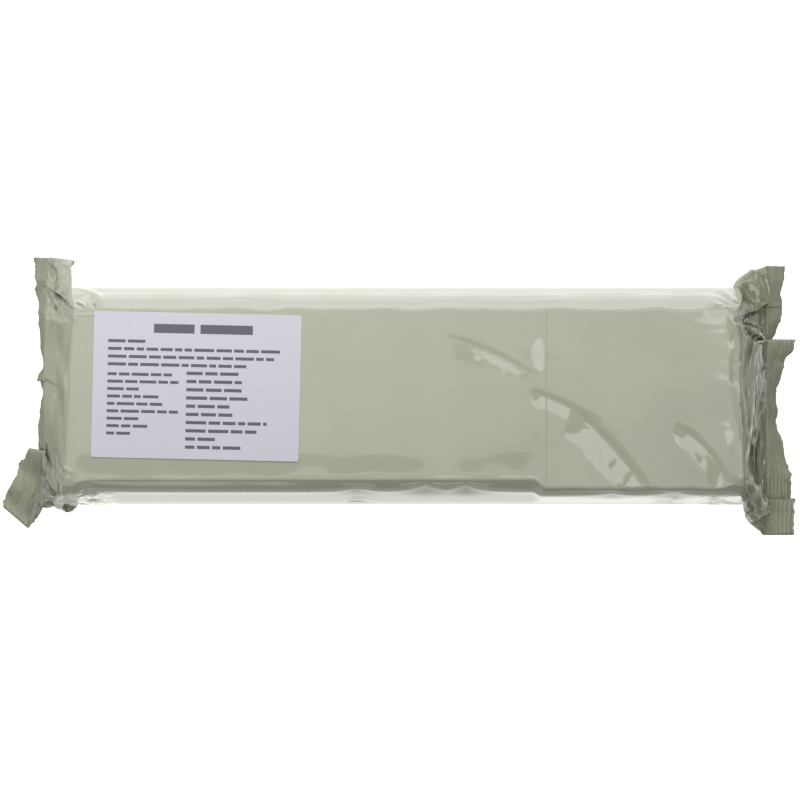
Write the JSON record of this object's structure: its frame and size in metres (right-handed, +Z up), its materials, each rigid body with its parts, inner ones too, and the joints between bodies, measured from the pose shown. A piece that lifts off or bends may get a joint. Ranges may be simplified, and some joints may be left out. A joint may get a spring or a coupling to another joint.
{
  "type": "wrapped halva block",
  "caption": "Long block of halva shut in a tight glossy sage-green film wrap with crimped end seals and a paper label on top.",
  "frame": {"origin": "on the ground under the middle of the pack's box", "axes": "+X along the pack's length, away from the labelled end; +Y across it, towards the label's top; +Z up, out of the labelled face"},
  "size_m": [0.404, 0.142, 0.0603],
  "materials": {
    "film": "glossy opaque sage-green packing film, creased",
    "label_paper": "smooth white label paper with dark print"
  },
  "bodies": {
    "root": {"pack": "film", "label": "label_paper"}
  },
  "joints": []
}
